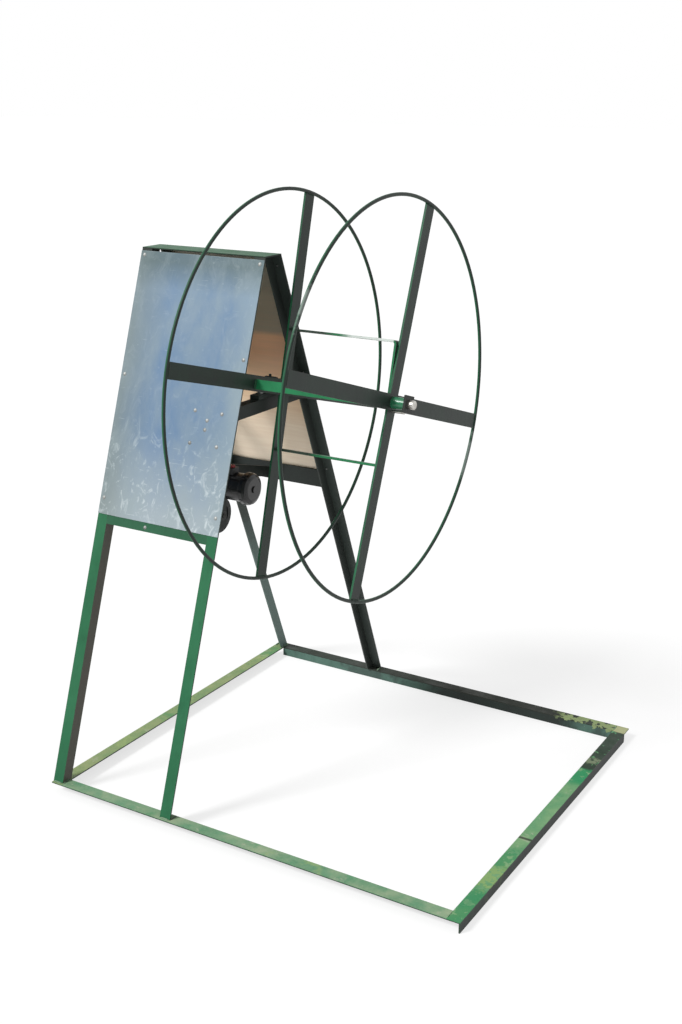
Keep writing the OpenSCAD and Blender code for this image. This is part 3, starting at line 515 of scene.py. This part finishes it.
# One material for each of the record's slots
materials = {
    "base_paint": enamel("basePaint", baseLook),
    "leg_paint": enamel("legPaint", legLook),
    "cap_paint": enamel("capPaint", capLook),
    "bar_paint": enamel("barPaint", barLook),
    "inner_paint": enamel("innerPaint", innerLook),
    "hoop_paint": enamel("hoopPaint", hoopLook),
    "core_paint": enamel("corePaint", coreLook),
    "hub_paint": enamel("hubPaint", hubLook),
    "nut_steel": enamel("nutSteel", nutLook),
    "zinc_sheet": zincSheet("zincSheet", sheetLook),
    "ply_panel": boardWood("boardPanel", boardLook),
    "bright_bolt": turnedMetal("brightBolt", (156, 158, 156), (84, 84, 80), 0.5),
    "bare_steel": turnedMetal("bareSteel", (196, 194, 188), (128, 120, 110), 0.22),
    "insert_steel": turnedMetal("insertSteel", (120, 120, 116), (80, 78, 72), 0.35),
    "bush_bronze": castSkin("bushBronze", (44, 46, 44), (30, 32, 31), 0.5, 260.0, 0.15, (74, 76, 70)),
    "housing_iron": castSkin("housingIron", (46, 56, 51), (34, 42, 38), 0.55, 260.0, 0.2, (84, 90, 82)),
    "pulley_iron": castSkin("pulleyIron", (46, 48, 48), (30, 32, 32), 0.5, 200.0, 0.2, (84, 86, 80)),
    "motor_paint": castSkin("motorPaint", (26, 27, 28), (14, 15, 16), 0.14, 150.0, 0.08, (70, 70, 66)),
    "black_plastic": castSkin("blackPlastic", (34, 35, 36), (22, 23, 24), 0.42, 500.0, 0.15, (84, 84, 80)),
    "red_plastic": castSkin("redPlastic", (178, 26, 38), (140, 14, 26), 0.3, 400.0, 0.1),
    "belt_rubber": castSkin("beltRubber", (30, 30, 30), (18, 18, 18), 0.62, 420.0, 0.2, (70, 70, 66)),
}

# Pieces whose paint differs from the rest of their slot
ownPaint = {
    "leg_far_front": enamel("farLegPaint", farLegLook),
    "leg_near_rear": enamel("shadeLegPaint", shadeLegLook),
    "leg_far_rear": enamel("shadeFarLegPaint", farRearLook),
    "counter_shaft": turnedMetal("darkShaft", (62, 62, 60), (40, 40, 38), 0.45),
    "core_frame_upright": enamel("coreUprightPaint", coreUprightLook),
    "outer_hoop": enamel("wornHoopPaint", wornHoopLook),
    "rail_near": enamel("nearRailPaint", nearRailLook),
    "rail_far": enamel("farRailPaint", farRailLook),
    "rail_rear": enamel("rearRailPaint", rearRailLook),
}
slotOf = {s["node"]: s["material_slot"] for s in frame["record"]["subparts"]}
for name, obj in nodes.items():
    obj.data.materials.clear()
    obj.data.materials.append(ownPaint.get(name, materials[slotOf[name]]))
print("materials placed on", len(nodes), "nodes")

# Weld bead; "tip" is the square of the least taper, and "sideways" a direction that no bead runs in
beadLook = {"radius": 0.0022, "ripple": 0.22, "pitch": 0.0032, "around": 10, "stepLength": 0.0008,
            "leastRings": 12, "tip": 0.0004, "sideways": (0.31, 0.22, 0.93)}


# A bead is a round profile carried along a path: radius r * taper * (1 + ripple * sin(2 pi s / pitch))
# with s the length along the path, tapered to a point and closed by a fan at both ends
def beadGrid(path, look):
    path = np.asarray(path, float)
    legs = np.linalg.norm(np.diff(path, axis=0), axis=1)
    along = np.concatenate([[0], np.cumsum(legs)])
    count = max(look["leastRings"], int(along[-1] / look["stepLength"]))
    s = np.linspace(0, along[-1], count)
    centre = np.stack([np.interp(s, along, places) for places in path.T], 1)
    ahead = np.gradient(centre, axis=0)
    ahead /= np.linalg.norm(ahead, axis=1)[:, None]
    side = np.cross(ahead, np.array(look["sideways"]))
    side /= np.linalg.norm(side, axis=1)[:, None]
    up = np.cross(ahead, side)
    taper = np.sqrt(np.clip(np.minimum(s, along[-1] - s) / (2 * look["radius"]), look["tip"], 1))
    radius = look["radius"] * taper * (1 + look["ripple"] * np.sin(2 * np.pi * s / look["pitch"]))
    n = look["around"]
    angle = np.linspace(0, 2 * np.pi, n, endpoint=False)[None, :, None]
    ring = np.cos(angle) * side[:, None] + np.sin(angle) * up[:, None]
    verts = centre[:, None] + radius[:, None, None] * ring
    i, j = np.meshgrid(np.arange(count - 1), np.arange(n), indexing="ij")
    a = i * n + j
    b = i * n + (j + 1) % n
    quads = np.stack([a, b, b + n, a + n], -1).reshape(-1, 4)
    rim = np.arange(1, n - 1)
    hub = np.zeros_like(rim)
    nearCap = np.stack([hub, rim + 1, rim], 1)
    farCap = np.stack([hub, rim, rim + 1], 1) + (count - 1) * n
    return verts.reshape(-1, 3), quads, np.concatenate([nearCap, farCap])


def weldBeads(name, paths, material, body):
    verts = []
    faces = []
    start = 0
    for path in paths:
        beadVerts, quads, caps = beadGrid(path, beadLook)
        verts.append(beadVerts)
        faces += (quads + start).tolist() + (caps + start).tolist()
        start += len(beadVerts)
    mesh = bpy.data.meshes.new(name)
    mesh.from_pydata(np.concatenate(verts).tolist(), [], faces)
    mesh.polygons.foreach_set("use_smooth", np.ones(len(faces), bool))
    mesh.materials.append(material)
    obj = bpy.data.objects.new(name, mesh)
    bpy.context.scene.collection.objects.link(obj)
    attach(obj, body)


# Lowest and highest corner of a node, as arrays
def corners(node):
    low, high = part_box(node)
    return np.array(low), np.array(high)


# Welds at the feet of the legs: along the outer edge and across both sides of each foot
footLook = {"short": 0.002, "depth": 0.024, "start": 0.1, "inset": 0.0032}


def footWelds(look):
    paths = []
    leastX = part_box("rail_far")[0][0] + look["inset"]
    for leg in ("leg_far_front", "leg_near_front", "leg_far_rear", "leg_near_rear"):
        low, high = corners(leg)
        z = low[2]
        if leg.endswith("front"):
            y = low[1]
            inward = look["depth"]
        else:
            y = high[1]
            inward = -look["depth"]
        paths.append([(low[0] + look["short"], y, z), (high[0] - look["short"], y, z)])
        for side in (low[0], high[0]):
            x = max(side, leastX)
            paths.append([(x, y + inward * look["start"], z), (x, y + inward, z)])
    weldBeads("footWelds", paths, enamel("weldPaint", weldLook), "frame")


# Welds where the bars of the base meet, across the top plates
railWeldLook = {"inset": 0.0004, "short": 0.003, "sunk": 0.0013}


def railWelds(look):
    front = corners("rail_front")
    rear = corners("rail_rear")
    paths = []
    for x in (front[0][0] + look["inset"], front[1][0] - look["inset"]):
        for low, high in (front, rear):
            z = high[2] - look["sunk"]
            paths.append([(x, low[1] + look["short"], z), (x, high[1] - look["short"], z)])
    weldBeads("railWelds", paths, materials["base_paint"], "frame")


# Welds of the spokes to the hoops, an arc on each face of the bar, and of the core frames.
# Leans are in degrees from upright, the rest in metres
reelWelds = {"innerLeans": (14.3, 15.2), "outerLeans": (21.2, 17.2), "half": 0.0165,
             "points": 9, "inward": 0.0036, "offMiddle": 0.0027, "bar": 0.008,
             "coreUp": (0.1325, -0.1415), "coreLevel": (0.123, -0.123), "coreHalf": 0.011,
             "coreLean": 14.3, "coreLift": 0.0006, "spokeThick": 0.005}


def hoopWelds(hoop, leans, body, look):
    low, high = corners(hoop)
    centre = (low + high) / 2
    radius = (high[2] - low[2]) / 2 - look["bar"] / 2
    weldRadius = radius - look["inward"]
    spread = np.linspace(-1, 1, look["points"]) * look["half"] / radius
    paths = []
    for k in range(4):
        turn = math.radians(leans[k % 2] + 90 * k) + spread
        for side in (-1, 1):
            x = np.full(look["points"], centre[0] + side * look["offMiddle"])
            y = centre[1] + weldRadius * np.sin(turn)
            z = centre[2] + weldRadius * np.cos(turn)
            paths.append(np.stack([x, y, z], 1))
    weldBeads(hoop + "Welds", paths, materials["hoop_paint"], body)


def coreWelds(look):
    low, high = corners("inner_hoop")
    centre = (low + high) / 2 + np.array([look["spokeThick"] / 2 + look["coreLift"], 0, 0])
    turn = math.radians(look["coreLean"])
    upward = np.array([0, math.sin(turn), math.cos(turn)])
    across = np.array([0, math.cos(turn), -math.sin(turn)])
    paths = []
    for axis, other, places in ((upward, across, look["coreUp"]), (across, upward, look["coreLevel"])):
        for place in places:
            middle = centre + axis * place
            paths.append([middle - other * look["coreHalf"], middle + other * look["coreHalf"]])
    weldBeads("coreWelds", paths, materials["core_paint"], "reel")


footWelds(footLook)
railWelds(railWeldLook)
hoopWelds("inner_hoop", reelWelds["innerLeans"], "reel", reelWelds)
hoopWelds("outer_hoop", reelWelds["outerLeans"], "outer_flange", reelWelds)
coreWelds(reelWelds)
print("welds laid")

# Camera as measured from the photograph, in metres, degrees and millimetres of lens and sensor
cameraSettings = {"place": (1.46296, -2.48927, 1.56694), "yaw": 31.023, "pitch": 17.845,
                  "roll": 0.211, "lens": 46.904, "sensor": 36}


def placeCamera(settings):
    yaw, pitch, roll = (math.radians(settings[k]) for k in ("yaw", "pitch", "roll"))
    upright = Vector((0, 0, 1))
    side = Vector((math.cos(yaw), math.sin(yaw), 0))
    level = Vector((-math.sin(yaw), math.cos(yaw), 0))
    ahead = level * math.cos(pitch) - upright * math.sin(pitch)
    top = level * math.sin(pitch) + upright * math.cos(pitch)
    right = side * math.cos(roll) + top * math.sin(roll)
    above = top * math.cos(roll) - side * math.sin(roll)
    data = bpy.data.cameras.new("photoCamera")
    data.lens = settings["lens"]
    data.sensor_width = settings["sensor"]
    data.sensor_fit = "AUTO"
    cam = bpy.data.objects.new("photoCamera", data)
    bpy.context.scene.collection.objects.link(cam)
    turn = Matrix((right, above, -ahead)).transposed()
    cam.matrix_world = Matrix.Translation(settings["place"]) @ turn.to_4x4()
    bpy.context.scene.camera = cam


placeCamera(cameraSettings)
print("camera placed")

# Floor and light: the floor and the sky look white to the camera, the lamps stay at a plain level
studio = {"floorSize": 90.0, "floorDrop": 0.0005, "floorColor": (0.82, 0.82, 0.82, 1), "floorRough": 0.9,
          "floorShine": 0.1, "floorGlow": 0.62, "glowPower": 1.15, "skyColor": (1, 1, 1, 1),
          "skyStrength": 0.5, "skySeen": 1.0, "sunPower": 2.55, "sunTurn": (46, 0, -34), "sunSize": 14}


def cameraMask(tree):
    path = addNode(tree, "ShaderNodeLightPath").outputs
    seen = mathNode(tree, "MAXIMUM", path["Is Camera Ray"], path["Is Glossy Ray"])
    return mathNode(tree, "MAXIMUM", seen, path["Is Transmission Ray"])


def buildSky(settings):
    world = bpy.data.worlds.new("studioWorld")
    bpy.context.scene.world = world
    world.use_nodes = True
    tree = world.node_tree
    back = tree.nodes["Background"]
    feed(tree, back.inputs["Color"], settings["skyColor"])
    strength = addNode(tree, "ShaderNodeMapRange")
    feed(tree, strength.inputs[0], cameraMask(tree))
    feed(tree, strength.inputs[3], settings["skyStrength"])
    feed(tree, strength.inputs[4], settings["skySeen"])
    feed(tree, back.inputs["Strength"], strength.outputs[0])


def floorFinish(settings):
    mat = bpy.data.materials.new("studioFloor")
    mat.use_nodes = True
    tree = mat.node_tree
    shader = tree.nodes["Principled BSDF"]
    feed(tree, shader.inputs["Base Color"], settings["floorColor"])
    feed(tree, shader.inputs["Roughness"], settings["floorRough"])
    feed(tree, shader.inputs["Specular IOR Level"], settings["floorShine"])
    glow = addNode(tree, "ShaderNodeEmission")
    feed(tree, glow.inputs["Strength"], settings["glowPower"])
    blend = addNode(tree, "ShaderNodeMixShader")
    feed(tree, blend.inputs[0], times(tree, cameraMask(tree), settings["floorGlow"]))
    feed(tree, blend.inputs[1], shader.outputs[0])
    feed(tree, blend.inputs[2], glow.outputs[0])
    feed(tree, tree.nodes["Material Output"].inputs["Surface"], blend.outputs[0])
    return mat


def buildFloor(settings):
    half = settings["floorSize"] / 2
    z = -settings["floorDrop"]
    mesh = bpy.data.meshes.new("studioFloor")
    mesh.from_pydata([(-half, -half, z), (half, -half, z), (half, half, z), (-half, half, z)],
                     [], [(0, 1, 2, 3)])
    mesh.materials.append(floorFinish(settings))
    floor = bpy.data.objects.new("studioFloor", mesh)
    bpy.context.scene.collection.objects.link(floor)


def buildSun(settings):
    lamp = bpy.data.lights.new("sunLamp", "SUN")
    lamp.energy = settings["sunPower"]
    lamp.angle = math.radians(settings["sunSize"])
    obj = bpy.data.objects.new("sunLamp", lamp)
    obj.rotation_euler = [math.radians(a) for a in settings["sunTurn"]]
    bpy.context.scene.collection.objects.link(obj)


buildSky(studio)
buildFloor(studio)
buildSun(studio)
bpy.context.scene.view_settings.view_transform = "Standard"
print("studio built")
